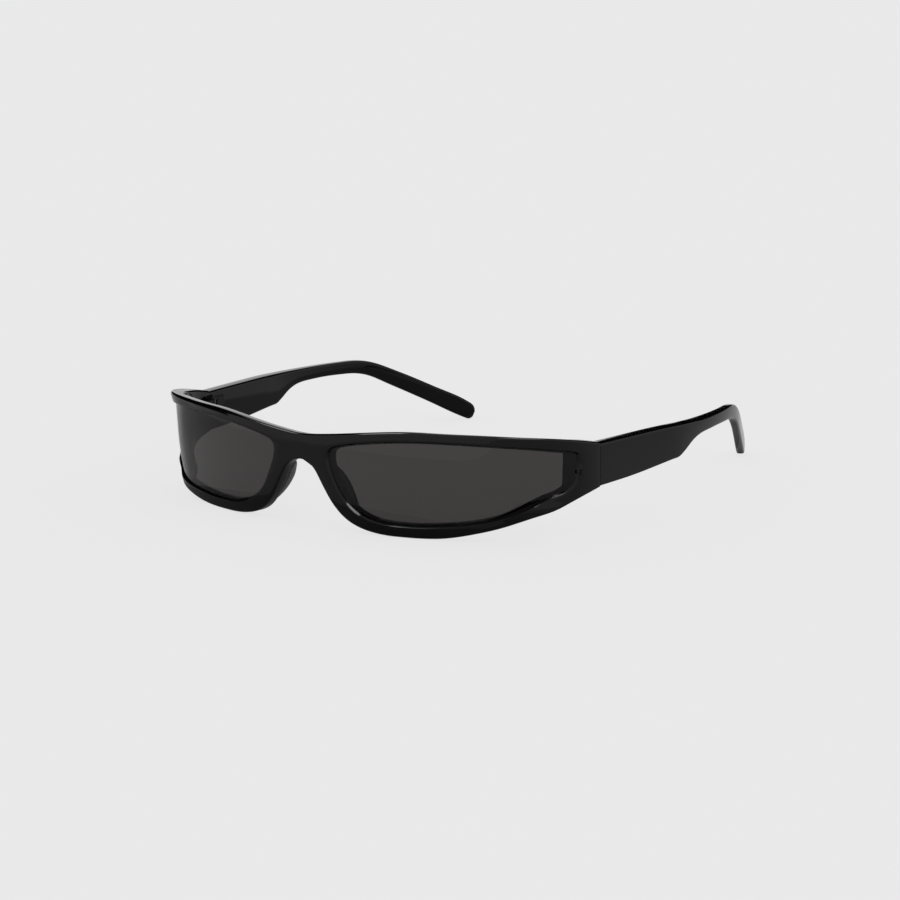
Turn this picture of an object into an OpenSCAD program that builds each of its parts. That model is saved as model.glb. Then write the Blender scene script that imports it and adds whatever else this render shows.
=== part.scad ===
// Slim wraparound sunglasses: one moulded front, two curved lenses, two folding temples.
// Frame: +X is the wearer's left, the front faces -Y, the temples run to +Y, +Z is up.
// The part stands on the undersides of its rims and on its temple tips, at z = 0.

/* [Front seen from above] */
// Half width of the flat bridge
bridge_half = 10; // [9:0.5:11]
// Radius of the curve across each lens
face_radius = 95; // [88:1:104]
// Turn of the curve across each lens, in degrees
face_turn = 26.5; // [25:0.5:28]
// Radius of the wrap at the side of the face
wrap_radius = 30; // [28:0.5:33]
// Turn of the wrap, in degrees
wrap_turn = 47; // [45:0.5:49]
// Radius of the stretch that runs to the hinge
side_radius = 62; // [55:1:75]
// Turn of the stretch that runs to the hinge, in degrees
side_turn = 11.2; // [10:0.1:12.5]

/* [Front seen from ahead] */
// Height of the brow over the bridge
brow_bridge = 25.2; // [24.4:0.1:25.6]
// Height of the brow at its peak, over the lens
brow_peak = 28.6; // [27.8:0.1:29.4]
// Height of the brow at the hinge
brow_end = 24.1; // [23.6:0.1:24.6]
// Height of the underside at the hinge
chin_end = 11.9; // [11.2:0.1:12.6]
// Height of the top of the nose notch
notch_top = 18.6; // [17.6:0.1:19.4]
// Width of the rim above a lens
brow_rim = 2.5; // [2.2:0.1:2.9]
// Width of the rim below a lens
chin_rim = 2.8; // [2.5:0.1:3.2]

/* [Front section] */
// Thickness of the front
front_t = 4; // [3.8:0.1:4.6]
// Rounding of the outer edges of the front and temples
edge_r = 0.7; // [0.4:0.05:0.9]
// Backward slope of the brow's top face, in degrees
brow_fall = 10; // [5:1:12]
// Width of the bevel round a lens
bevel_w = 0.45; // [0.35:0.05:0.7]
// Depth of the lens's seat beside the nose
bevel_d = 0.8; // [0.6:0.05:1.1]
// Depth of the lens's seat at the side of the face
side_seat = 1.6; // [1.45:0.05:1.75]
// Hollow of the face beside a lens, at the side of the face
side_hollow = 1; // [0.6:0.05:1.1]
// Swell of the rim below a lens, at the side of the face
rim_swell = 0.8; // [0.4:0.1:1]
// Width of the lip behind a lens
back_lip = 0.9; // [0.6:0.05:1.1]
// Forward slope of the face, in degrees
lean = 3.2; // [2:0.1:4.5]
// Inward slope of the wrap, in degrees
side_lean = 10.8; // [8:0.1:12]
// Radius of the crown of the face from brow to underside
crown_radius = 55; // [50:1:80]
// Overlap of the inner wall behind the outer end of a lens
wall_overlap = 2.85; // [2:0.05:4.2]

/* [Lens] */
// Thickness of a lens
lens_t = 1.3; // [1.1:0.05:1.4]
// Depth of a lens in its groove
lens_bite = 0.8; // [0.5:0.05:1]
// Clearance of a lens in its groove
lens_gap = 0.05; // [0.03:0.01:0.08]

/* [Nose pad] */
// Reach of a nose pad behind the front
pad_reach = 5.2; // [4:0.1:6]
// Thickness of a nose pad
pad_t = 2.6; // [2.2:0.1:3]
// Sideways flare of a nose pad over its reach
pad_flare = 0.6; // [0.2:0.1:1.4]

/* [Temple] */
// Length of the straight stretch behind the hinge
straight_len = 30; // [24:1:36]
// Radius of the inward curve
temple_radius = 102; // [95:1:115]
// Turn of the inward curve, in degrees
temple_turn = 32.5; // [29:0.5:34]
// Height of the upper edge at the hinge
temple_top = 23.8; // [23.4:0.1:24.3]
// Depth of the temple at the hinge
deep_h = 11.6; // [11.2:0.1:12.1]
// Depth of the temple behind the notch
slim_h = 4; // [3.6:0.1:4.6]
// Distance from the hinge to the notch
notch_at = 35.3; // [33:0.1:38]
// Distance from the hinge to the ear bend
bend_at = 75.5; // [72:0.5:80]
// Length of the drop behind the ear, along the plan
drop_len = 38.2; // [34:0.2:42]
// Depth of the drop behind the ear
drop_h = 5.2; // [4.6:0.1:5.6]
// Thickness of the temple from its ear bend to its tip
tip_t = 2.4; // [2.2:0.1:3]

/* [Hinge] */
// Gap between the front and a temple when it is open
joint_gap = 0.12; // [0.1:0.01:0.2]
// Radius of a hinge knuckle
knuckle_r = 1.4; // [1.25:0.05:1.5]
// Height of a hinge knuckle
knuckle_h = 2.3; // [2:0.1:2.6]
// Gap between neighbouring knuckles
knuckle_gap = 0.08; // [0.05:0.01:0.12]
// Distance of the hinge axis behind the inner face
axis_proud = 0.6; // [0.4:0.05:0.8]
// Thickness of a hinge leaf
leaf_t = 0.9; // [0.7:0.05:1.1]
// Length of a hinge leaf from the axis
leaf_len = 6.9; // [6.4:0.1:7.1]
// Radius of the hinge screw
screw_r = 0.7; // [0.6:0.05:0.8]
// Running clearance of a temple's knuckle round the screw
running_gap = 0.05; // [0.03:0.01:0.08]
// Radius of a rivet's shank
rivet_r = 0.6; // [0.5:0.05:0.7]
// Height of the hinge's middle
hinge_z = 18.1; // [17.6:0.1:18.6]

/* [Core wire] */
// Radius of the wire inside a temple
wire_r = 0.6; // [0.4:0.05:0.75]

/* [Hidden] */

frame_black = [0.05, 0.05, 0.055];
lens_smoke = [0.2, 0.2, 0.21, 0.6];
pad_black = [0.1, 0.1, 0.105];
steel = [0.62, 0.63, 0.65];

// Plan of the front: the length along its outer face at which each curve ends.
deg = 180 / PI;
s_face = bridge_half + face_radius * face_turn / deg;
s_wrap = s_face;
s_side = s_wrap + wrap_radius * wrap_turn / deg;
s_end = s_side + side_radius * side_turn / deg;
joint_turn = face_turn + wrap_turn + side_turn;

// The tangent's angle at the length s along the front.
function plan_turn(s) =
    s <= bridge_half ? 0 :
    s <= s_face ? (s - bridge_half) / face_radius * deg :
    s <= s_side ? face_turn + (s - s_wrap) / wrap_radius * deg :
    s <= s_end ? face_turn + wrap_turn + (s - s_side) / side_radius * deg :
    joint_turn;

// The point reached on an arc of radius r that turns from angle a to angle b.
function arc_step(r, a, b) = r * [sin(b) - sin(a), cos(a) - cos(b)];

bridge_end = [bridge_half, 0];
face_end = bridge_end + arc_step(face_radius, 0, face_turn);
wrap_end = face_end + arc_step(wrap_radius, face_turn, face_turn + wrap_turn);
joint = wrap_end + arc_step(side_radius, face_turn + wrap_turn, joint_turn);

function plan_point(s) =
    s <= bridge_half ? [s, 0] :
    s <= s_face ? bridge_end + arc_step(face_radius, 0, plan_turn(s)) :
    s <= s_side ? face_end + arc_step(wrap_radius, face_turn, plan_turn(s)) :
    wrap_end + arc_step(side_radius, face_turn + wrap_turn, plan_turn(s));

// The slope and crown of the face fade to nothing before the hinge, where the end is flat.
flat_end = 6;
crown_z = 13;
slope_z = 25;
function ease(a, b, v) = let (u = max(0, min(1, (v - a) / (b - a)))) u * u * (3 - 2 * u);
function fade(s) = 1 - ease(s_face, s_end - flat_end, s);
function wrap_share(s) =
    let (u = max(0, min(1, (s - s_face + 2) / (s_end - flat_end - s_face + 2)))) (1 - cos(360 * u)) / 2;
function bulge(s, z) =
    fade(s) * (tan(lean) * (z - slope_z) - pow(z - crown_z, 2) / (2 * crown_radius))
    + wrap_share(s) * tan(side_lean) * (z - slope_z);

// A point of the front: s along its outer face, z up, n outwards from that face.
function outward(a) = [sin(a), -cos(a)];
function front_point(s, z, n) =
    let (p = plan_point(s) + outward(plan_turn(s)) * (bulge(s, z) + n)) [p.x, p.y, z];

// Smooth curve through points: the tangent at each point leans to its shorter side.
function unit(v) = v / norm(v);
function tangent(p, i, closed) =
    let (n = len(p))
    let (a = closed ? p[(i + n - 1) % n] : p[max(0, i - 1)])
    let (b = p[i])
    let (c = closed ? p[(i + 1) % n] : p[min(n - 1, i + 1)])
    norm(b - a) == 0 ? unit(c - b) :
    norm(c - b) == 0 ? unit(b - a) :
    unit(unit(b - a) * norm(c - b) + unit(c - b) * norm(b - a));
function hermite(a, b, ta, tb, u) =
    let (d = norm(b - a))
    a * (2 * u * u * u - 3 * u * u + 1) + ta * d * (u * u * u - 2 * u * u + u)
    + b * (3 * u * u - 2 * u * u * u) + tb * d * (u * u * u - u * u);
function curve(p, steps, closed = false) = [
    for (i = [0:len(p) - (closed ? 1 : 2)])
        let (k = (i + 1) % len(p))
        let (ta = tangent(p, i, closed))
        let (tb = tangent(p, k, closed))
        for (j = [0:steps - 1]) hermite(p[i], p[k], ta, tb, j / steps),
    if (!closed) p[len(p) - 1]
];

// Outlines of the front as [length along the face, height].
brow = [
    [0, brow_bridge], [11, brow_bridge + 1.2], [21, brow_bridge + 2.4], [32, brow_peak], [43, brow_peak],
    [s_end - 29, brow_peak - 0.3], [s_end - 17, brow_end + 3.15], [s_end - 8, brow_end + 1.7],
    [s_end, brow_end]
];
chin = [
    [s_end, chin_end], [s_end - 7, chin_end - 1.5], [s_end - 17, chin_end - 5.3],
    [s_end - 26, chin_end - 7.6], [s_end - 37, 2.4], [44, 0.45], [35, 0], [25, 0.15],
    [18.6, 1.3], [14.1, 3.4], [10.6, 6.9], [8.2, 10.7],
    [6.4, notch_top - 4.8], [4.5, notch_top - 2], [2.3, notch_top - 0.5], [0, notch_top]
];
opening = [
    [9, 18.9], [9.2, brow_bridge - 3.6], [10.6, brow_bridge - 2.35], [13.5, brow_bridge - 1.45],
    [21.5, brow_bridge + 2.45 - brow_rim], [34, brow_peak + 0.2 - brow_rim], [47, brow_peak + 0.3 - brow_rim],
    [s_end - 26, brow_peak - 0.65 - brow_rim], [s_end - 15, brow_end + 2.45 - brow_rim],
    [s_end - 10.3, brow_end - 0.95], [s_end - 8.1, brow_end - 1.85], [s_end - 7.5, brow_end - 3.5],
    [s_end - 7.9, chin_end + 6.1], [s_end - 8.5, chin_end + 3], [s_end - 9.6, chin_end + 1.5],
    [s_end - 17, chin_end - 1.4], [s_end - 25.3, chin_end - 4.4], [s_end - 36.8, 2.15 + chin_rim],
    [43.4, 0.8 + chin_rim], [33, 0.2 + chin_rim], [24, 0.65 + chin_rim],
    [18.2, 5.3], [13.6, 9.2], [10.5, 14.7]
];

// Stations round a rim: the outer outline and the opening have one point each at every station.
opening_steps = 3;
brow_steps = 4;
chin_steps = 2;
end_steps = 4;
mid_steps = 4;
opening_loop = curve(opening, opening_steps, true);
brow_line = curve(brow, brow_steps);
chin_line = [for (p = curve(chin, chin_steps)) [p.x, max(0, p.y)]];
loop_n = len(opening_loop);
brow_n = len(brow_line);
chin_n = len(chin_line);
first_chin = brow_n + end_steps - 1;
last_chin = first_chin + chin_n - 1;
stations = last_chin + mid_steps;

// The butt face at the hinge keeps a sharper edge, so that the joint closes to a thin line.
butt_r = 0.1;

// A point of the outer outline, and the step from it to the flat of the face.
function line_step(p, i) =
    let (t = unit(p[min(len(p) - 1, i + 1)] - p[max(0, i - 1)])) edge_r * [t.y, -t.x];
function outer(j) =
    j < brow_n ? brow_line[j] :
    j < first_chin ? [s_end, brow_end + (chin_end - brow_end) * (j - brow_n + 1) / end_steps] :
    j <= last_chin ? chin_line[j - first_chin] :
    [0, notch_top + edge_r + (brow_bridge - notch_top - 2 * edge_r) * (j - last_chin) / mid_steps];
function inward(j) =
    j == 0 ? [0, -edge_r] :
    j < brow_n - 1 ? line_step(brow_line, j) :
    j == brow_n - 1 ? [-butt_r, -edge_r] :
    j < first_chin ? [-butt_r, 0] :
    j == first_chin ? [-butt_r, edge_r] :
    j < last_chin ? line_step(chin_line, j - first_chin) :
    j == last_chin ? [0, edge_r] :
    [0, 0];
function round_n(j) = j > brow_n - 1 && j < first_chin ? butt_r : edge_r;

// The brow's top face falls towards the back, and lies level where it meets a temple.
function top_fall(j) =
    j < brow_n ? tan(brow_fall) * (front_t - 2 * edge_r) * (1 - ease(s_end - 14, s_end - 3, brow_line[j].x)) : 0;

// The opening's station beside each station of the outer outline, by the corners of the opening.
upper_nose = opening_steps;
upper_end = opening_steps * 10;
lower_end = opening_steps * 14;
lower_nose = opening_steps * 23;
function between(a, b, u) = a + (b - a) * u;
function opening_at(j) =
    let (
        u = j < brow_n ? between(upper_nose, upper_end, j / (brow_n - 1)) :
            j < first_chin ? between(upper_end, lower_end, (j - brow_n + 1) / end_steps) :
            j <= last_chin ? between(lower_end, lower_nose, (j - first_chin) / (chin_n - 1)) :
            between(lower_nose, loop_n + upper_nose, (j - last_chin) / mid_steps)
    )
    u % loop_n;
function loop_point(p, u) = let (i = floor(u)) between(p[i % len(p)], p[(i + 1) % len(p)], u - i);
function loop_normal(p, u) =
    let (t = unit(loop_point(p, u + 0.75) - loop_point(p, u + len(p) - 0.75))) [-t.y, t.x];
function opening_step(u, r) = loop_point(opening_loop, u) + loop_normal(opening_loop, u) * r;

// At the side of the face the lens lies deeper, the rim swells below it, and the face is hollow above that.
function seat(s) = between(bevel_d, side_seat, wrap_share(s));
swell_low = 5.5;
swell_full = 7.8;
swell_high = 8;
swell_top = 9.8;
hollow_low = 8.5;
hollow_mid = 12.5;
hollow_high = 24;
hollow_top = 28.5;
function hollow(p) =
    wrap_share(p.x) * (
        side_hollow * ease(hollow_low, hollow_mid, p.y) * (1 - 0.7 * ease(hollow_high, hollow_top, p.y))
        - rim_swell * ease(swell_low, swell_full, p.y) * (1 - ease(swell_high, swell_top, p.y))
    );
groove_w = lens_t + 2 * lens_gap;
lens_edge = lens_bite - bevel_w;
groove_edge = lens_edge + 0.1;
opening_end = 7.7;
wall_s = s_end - opening_end - wall_overlap;
function walled(p) = [min(p.x, wall_s + 0.02 * (p.x - wall_s)), p.y];

// One ring of the rim's section as [length, height, depth]: lip, face, outer wall, back, groove.
function rim_ring(j) =
    let (u = opening_at(j))
    let (o = outer(j))
    let (v = inward(j))
    let (e = round_n(j))
    let (edge = loop_point(opening_loop, u))
    let (lip = opening_step(u, -bevel_w))
    let (back = walled(opening_step(u, -back_lip)))
    let (groove = opening_step(u, groove_edge))
    let (flat = o + v)
    let (turn = o + 0.3 * v)
    let (face = (edge + flat) / 2)
    let (fall = top_fall(j))
    [
        [lip.x, lip.y, -seat(lip.x)], [edge.x, edge.y, -hollow(edge)], [face.x, face.y, -hollow(face)],
        [flat.x, flat.y, -hollow(flat)], [turn.x, turn.y, -hollow(turn) - 0.3 * e],
        [o.x, o.y, -hollow(o) - e],
        [o.x, o.y - fall, e - front_t], [turn.x, turn.y - fall, 0.3 * e - front_t],
        [flat.x, flat.y - fall, -front_t],
        [(back.x + flat.x) / 2, (back.y + flat.y) / 2, -front_t],
        [back.x, back.y, -front_t], [back.x, back.y, -seat(back.x) - groove_w],
        [groove.x, groove.y, -seat(groove.x) - groove_w], [groove.x, groove.y, -seat(groove.x)]
    ];
ring_n = 14;
wall_first = 3;
wall_last = 8;
half_front = [for (j = [0:stations - 1]) for (q = rim_ring(j)) front_point(q.x, q.y, q.z)];

// Temple: the plan of its outer face by the length t behind the hinge, and its upper and lower edges.
straight_end = joint + straight_len * [cos(joint_turn), sin(joint_turn)];
curve_end = straight_end + arc_step(temple_radius, joint_turn, joint_turn + temple_turn);
curve_len = temple_radius * temple_turn / deg;
function temple_dir(t) = joint_turn + max(0, min(1, (t - straight_len) / curve_len)) * temple_turn;
function temple_plan(t) =
    t <= straight_len ? joint + t * [cos(joint_turn), sin(joint_turn)] :
    t <= straight_len + curve_len ? straight_end + arc_step(temple_radius, joint_turn, temple_dir(t)) :
    curve_end + (t - straight_len - curve_len) * [cos(temple_dir(t)), sin(temple_dir(t))];
function temple_point(t, z, n) = let (p = temple_plan(t) + outward(temple_dir(t)) * n) [p.x, p.y, z];

tip_at = bend_at + drop_len;
drop_angle = 25.5;
drop_step = drop_h * [sin(drop_angle), cos(drop_angle)];
tip_top = drop_step.y + 0.9;
function edge_pair(t, z, h) = [[t, z], [t, z - h]];
function drop_pair(d, z, h) = [[tip_at - d, z], [tip_at - d, z] - h * drop_step];
temple_edges = [
    edge_pair(joint_gap, temple_top, deep_h),
    edge_pair(15, temple_top - 0.1, deep_h - 0.6),
    [[notch_at - 4, temple_top - 0.3], [notch_at - 3, temple_top - deep_h + 1.85]],
    [[notch_at - 1, temple_top - 0.4], [notch_at, temple_top - deep_h + 2.05]],
    [[notch_at + 2, temple_top - 0.5], [notch_at + 2.2, temple_top - deep_h + 3]],
    [[notch_at + 6, temple_top - 0.6], [notch_at + 6.4, temple_top - slim_h - 2.4]],
    edge_pair(notch_at + 9.5, temple_top - 0.7, slim_h + 0.65),
    edge_pair(notch_at + 18.5, temple_top - 0.85, slim_h - 0.15),
    edge_pair(bend_at - 11, temple_top - 1.05, slim_h - 0.2),
    edge_pair(bend_at - 4, temple_top - 1.3, slim_h + 0.05),
    [[bend_at + 1, temple_top - 2.15], [bend_at, temple_top - 2.3 - slim_h]],
    drop_pair(27.6, tip_top + 12.35, 0.925),
    drop_pair(13.7, tip_top + 5.8, 0.98),
    drop_pair(2.2, tip_top, 1),
    [[tip_at - 0.6, tip_top - 1.2], [tip_at - 3.1, 0.32]],
    [[tip_at - 0.05, tip_top - 2.2], [tip_at - 2.1, 0]],
    [[tip_at, tip_top - 3], [tip_at - 1.2, 0.3]]
];
temple_steps = 3;
function thickness(t) = between(front_t, tip_t, max(0, min(1, (t - straight_len) / (bend_at - straight_len))));
temple_top_line = curve([for (p = temple_edges) p[0]], temple_steps);
temple_low_line = curve([for (p = temple_edges) p[1]], temple_steps);
function temple_ring(i) =
    let (a = temple_low_line[i])
    let (b = temple_top_line[i])
    let (h = norm(b - a))
    let (e = min(edge_r, 0.35 * h))
    let (th = thickness(b.x))
    [
        for (q = [
            [e / h, 0], [0.3 * e / h, -0.3 * e], [0, -e],
            [0, e - th], [0.3 * e / h, 0.3 * e - th], [e / h, -th],
            [1 - e / h, -th], [1 - 0.3 * e / h, 0.3 * e - th], [1, e - th],
            [1, -e], [1 - 0.3 * e / h, -0.3 * e], [1 - e / h, 0]
        ])
            let (p = between(a, b, q.x)) temple_point(p.x, p.y, q.y)
    ];
temple_rings = [for (i = [0:len(temple_low_line) - 1]) temple_ring(i)];

// The part's origin is the middle of its length, on the surface that it stands on.
front_y = min([for (p = half_front) p.y]);
back_y = max([for (r = temple_rings) for (p = r) p.y]);
mid_y = (front_y + back_y) / 2;

// Hinge: the axis stands behind the inner face, on the joint line.
axis_in = front_t + axis_proud;
leaf_in = front_t - leaf_t;
stack_h = 3 * knuckle_h + 2 * knuckle_gap;
stack_low = hinge_z - stack_h / 2;
pocket_r = knuckle_r + 0.25;
rivet_at = 4.5;
rivet_rise = 2;
rivet_grip = 1.6;
rivet_fit = 0.02;
head_r = 0.95;
head_h = 0.3;
screw_head_r = 1.15;
screw_head_h = 0.5;
slot_w = 0.3;
slot_d = 0.25;
tight_gap = 0.02;
$fn = 48;

// A closed skin over rings of points, capped at both ends.
module skin(rings) {
    n = len(rings[0]);
    m = len(rings);
    sides = [
        for (i = [0:m - 2]) for (k = [0:n - 1])
            let (l = (k + 1) % n)
            let (a = i * n)
            for (t = [[a + k, a + n + l, a + l], [a + k, a + n + k, a + n + l]]) t
    ];
    first = [for (k = [1:n - 2]) [0, k, k + 1]];
    last = [for (k = [1:n - 2]) [(m - 1) * n, (m - 1) * n + k + 1, (m - 1) * n + k]];
    polyhedron([for (r = rings) for (p = r) p], concat(sides, first, last), convexity = 10);
}

// Placed parts: the row's origin, one side or the other, and the hinge's own frame.
module placed() translate([0, -mid_y, 0]) children();
module side(left) mirror([left ? 0 : 1, 0, 0]) children();
module at_joint() translate([joint.x, joint.y, 0]) rotate([0, 0, joint_turn]) children();

module rim_halves() {
    count = len(half_front);
    on_mid = [for (j = [0:stations - 1]) j == 0 || j >= last_chin];
    function shared(j, k) = on_mid[j] && k >= wall_first && k <= wall_last;
    function at(half, j, k) = j * ring_n + k + (half == 1 && !shared(j, k) ? count : 0);
    function open_quad(j, k) = on_mid[j] && on_mid[(j + 1) % stations] && k >= wall_first && k < wall_last;
    quads = [
        for (half = [0, 1]) for (j = [0:stations - 1]) for (k = [0:ring_n - 1])
            let (m = (j + 1) % stations)
            let (l = (k + 1) % ring_n)
            if (!open_quad(j, k))
                half == 0 ?
                    [at(0, j, k), at(0, j, l), at(0, m, l), at(0, m, k)] :
                    [at(1, m, k), at(1, m, l), at(1, j, l), at(1, j, k)]
    ];
    triangles = [for (q = quads) for (t = [[q[0], q[1], q[2]], [q[0], q[2], q[3]]]) t];
    polyhedron(concat(half_front, [for (p = half_front) [-p.x, p.y, p.z]]), triangles, convexity = 10);
}

// Room for the knuckles, and the flat seat and rivet holes of a leaf; end is -1 on the front, 1 on a temple.
module hinge_cuts(end) {
    at_joint() {
        translate([0, axis_in, stack_low - 0.3])
            cylinder(r = pocket_r, h = stack_h + 0.3 + screw_head_h + 0.6);
        translate([end < 0 ? -leaf_len - 0.1 : 0, leaf_in, stack_low - 0.1])
            cube([leaf_len + 0.1, 3, stack_h + 0.2]);
        for (rise = [-rivet_rise, rivet_rise])
            translate([end * rivet_at, leaf_in + 0.1, hinge_z + rise])
                rotate([90, 0, 0]) cylinder(r = rivet_r + rivet_fit, h = rivet_grip + 0.15);
    }
}

module frame_front() {
    color(frame_black) placed() difference() {
        rim_halves();
        side(true) hinge_cuts(-1);
        side(false) hinge_cuts(-1);
    }
}

// A lens is a curved sheet between the upper and lower halves of its edge.
lens_rows = 4;
function lens_column(i, n) = [
    for (k = [0:lens_rows])
        let (a = opening_step(i, lens_edge))
        let (b = opening_step(loop_n - i, lens_edge))
        let (p = between(a, b, k / lens_rows))
        front_point(p.x, p.y, -seat(p.x) - n)
];
module lens(left) {
    half_n = loop_n / 2;
    low = lens_gap;
    high = lens_gap + lens_t;
    rings = [
        for (i = [0.5, each [1:half_n - 1], half_n - 0.5])
            let (f = lens_column(i, low))
            let (b = lens_column(i, high))
            concat(f, [for (k = [lens_rows:-1:0]) b[k]])
    ];
    color(lens_smoke) placed() side(left) skin(rings);
}

// A nose pad is a ridge behind the nose side of the rim, which leans outwards as it rises.
pad_path = curve([
    [4.5, notch_top - 2.1], [6.4, notch_top - 4.8], [8.2, 10.6], [11, 6.9], [15, 3.4]
], 3);
pad_low = 0.12;
module nose_pad(left) {
    n = len(pad_path) - 1;
    rings = [
        for (i = [0:n])
            let (v = line_step(pad_path, i) / edge_r)
            let (h = pad_reach * max(0.16, pow(sin(180 * i / n), 0.6)))
            let (w = pad_t / 2)
            [
                for (q = [
                    [-w, 0], [-w, 0.5 * h], [-0.7 * w, 0.87 * h], [0, h],
                    [0.7 * w, 0.87 * h], [w, 0.5 * h], [w, 0]
                ])
                    let (p = pad_path[i] - v * (w + 0.15 + q.x + pad_flare * q.y / pad_reach))
                    front_point(p.x, p.y, -front_t - pad_low - q.y)
            ]
    ];
    color(pad_black) placed() side(left) skin(rings);
}

module temple(left) {
    color(frame_black) placed() side(left) difference() {
        skin(temple_rings);
        hinge_cuts(1);
        wire_skin(wire_r + 0.03);
    }
}

// Hinge leaves: a plate let into the inner face, and one or two knuckles round the axis.
module knuckle(low, bore) {
    translate([0, axis_in, low]) difference() {
        cylinder(r = knuckle_r, h = knuckle_h);
        translate([0, 0, -1]) cylinder(r = bore, h = knuckle_h + 2);
    }
}
module plate(end, low, h, near) {
    translate([end < 0 ? -leaf_len : near, leaf_in, low]) cube([leaf_len - near, leaf_t, h]);
}
pitch = knuckle_h + knuckle_gap;
module leaf_holes(end) {
    for (rise = [-rivet_rise, rivet_rise])
        translate([end * rivet_at, front_t + 1, hinge_z + rise])
            rotate([90, 0, 0]) cylinder(r = rivet_r + rivet_fit, h = leaf_t + 2);
}
module axis_hole(r) translate([0, axis_in, stack_low - 1]) cylinder(r = r, h = stack_h + 2);

module hinge_front_leaf(left) {
    color(steel) placed() side(left) at_joint() difference() {
        union() {
            plate(-1, stack_low, stack_h, pocket_r);
            for (low = [stack_low, stack_low + 2 * pitch]) {
                plate(-1, low, knuckle_h, 0);
                knuckle(low, screw_r + tight_gap);
            }
        }
        leaf_holes(-1);
        axis_hole(screw_r + tight_gap);
    }
}

module hinge_temple_leaf(left) {
    color(steel) placed() side(left) at_joint() difference() {
        union() {
            plate(1, stack_low, stack_h, pocket_r);
            plate(1, stack_low + pitch, knuckle_h, 0);
            knuckle(stack_low + pitch, screw_r + running_gap);
        }
        leaf_holes(1);
        axis_hole(screw_r + running_gap);
    }
}

module hinge_screw(left) {
    top = stack_low + stack_h + tight_gap;
    color(steel) placed() side(left) at_joint() translate([0, axis_in, 0]) difference() {
        union() {
            translate([0, 0, stack_low]) cylinder(r = screw_r, h = stack_h + tight_gap + screw_head_h / 2);
            translate([0, 0, top]) cylinder(r = screw_head_r, h = screw_head_h);
        }
        translate([-screw_head_r - 1, -slot_w / 2, top + screw_head_h - slot_d])
            cube([2 * screw_head_r + 2, slot_w, slot_d + 1]);
    }
}

module rivets(left, end) {
    color(steel) placed() side(left) at_joint()
        for (rise = [-rivet_rise, rivet_rise])
            translate([end * rivet_at, front_t + tight_gap, hinge_z + rise]) {
                rotate([-90, 0, 0]) cylinder(r = head_r, h = head_h);
                translate([0, head_h / 2, 0]) rotate([90, 0, 0])
                    cylinder(r = rivet_r, h = rivet_grip + leaf_t + head_h / 2);
            }
}

// Core wire: it runs along the middle of the slim stretch and into the drop.
wire_low = temple_edges[6];
wire_start = (wire_low[0] + wire_low[1]) / 2;
wire_from = 9;
wire_path = curve(concat(
    [[wire_from, wire_start.y + 0.2], [24, wire_start.y + 0.2]],
    [for (i = [6:12]) (temple_edges[i][0] + temple_edges[i][1]) / 2]
), 3);
wire_sides = 8;
module wire_skin(r) {
    rings = [
        for (i = [0:len(wire_path) - 1])
            let (p = wire_path[i])
            let (a = wire_path[max(0, i - 1)])
            let (b = wire_path[min(len(wire_path) - 1, i + 1)])
            let (up = unit([a.y - b.y, b.x - a.x]))
            let (grow = (r - wire_r) * (i == 0 ? -1 : i == len(wire_path) - 1 ? 1 : 0))
            let (q = p + grow * [up.y, -up.x])
            [
                for (k = [0:wire_sides - 1])
                    let (v = up * r * cos(360 * k / wire_sides))
                    temple_point(q.x + v.x, q.y + v.y, r * sin(360 * k / wire_sides) - thickness(q.x) / 2)
            ]
    ];
    skin(rings);
}
module core_wire(left) color(steel) placed() side(left) wire_skin(wire_r);

frame_front();
lens(true);  // lens_left
lens(false);  // lens_right
nose_pad(true);  // nose_pad_left
nose_pad(false);  // nose_pad_right
hinge_front_leaf(true);  // hinge_front_leaf_left
hinge_front_leaf(false);  // hinge_front_leaf_right
rivets(true, -1);  // front_rivets_left
rivets(false, -1);  // front_rivets_right
hinge_screw(true);  // hinge_screw_left
hinge_screw(false);  // hinge_screw_right
temple(true);  // temple_left
temple(false);  // temple_right
hinge_temple_leaf(true);  // hinge_temple_leaf_left
hinge_temple_leaf(false);  // hinge_temple_leaf_right
rivets(true, 1);  // temple_rivets_left
rivets(false, 1);  // temple_rivets_right
core_wire(true);  // core_wire_left
core_wire(false);  // core_wire_right
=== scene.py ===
# %% [markdown]
# Slim wraparound sunglasses
#
# The real object is one moulded black front, two curved smoke lenses, two nose pads and two folding temples on
# small riveted hinges. The working model of it is loaded first. Its hinge parts stay as they are and get a better
# finish. The front, lenses, pads and temples are modelled again here with finer curves, because glossy plastic
# shows every flat in a coarse surface.

# %% Load the frame
import math
import bpy
import bmesh
from mathutils import Matrix, Vector


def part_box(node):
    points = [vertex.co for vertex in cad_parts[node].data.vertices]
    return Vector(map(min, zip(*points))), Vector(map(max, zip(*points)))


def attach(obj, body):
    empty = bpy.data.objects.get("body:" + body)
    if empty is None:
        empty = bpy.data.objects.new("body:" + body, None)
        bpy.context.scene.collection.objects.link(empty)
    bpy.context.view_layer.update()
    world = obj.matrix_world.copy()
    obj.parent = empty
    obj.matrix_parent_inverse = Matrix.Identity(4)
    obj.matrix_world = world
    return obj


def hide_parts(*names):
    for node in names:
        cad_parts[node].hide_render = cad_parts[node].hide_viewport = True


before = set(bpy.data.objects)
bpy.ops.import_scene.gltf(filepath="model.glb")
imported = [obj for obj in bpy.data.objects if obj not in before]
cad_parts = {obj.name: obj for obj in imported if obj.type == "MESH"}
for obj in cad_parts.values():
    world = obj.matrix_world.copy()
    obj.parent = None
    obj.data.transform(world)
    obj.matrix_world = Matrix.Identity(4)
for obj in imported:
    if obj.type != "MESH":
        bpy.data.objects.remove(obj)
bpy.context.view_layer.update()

MM = 0.001

# %% [markdown]
# The camera
#
# It stands in front of the glasses, to the wearer's left and a little above them. The numbers are a place to look
# at, a direction, a distance and a lens. A long lens from far away keeps the two rims nearly the same size.

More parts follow.
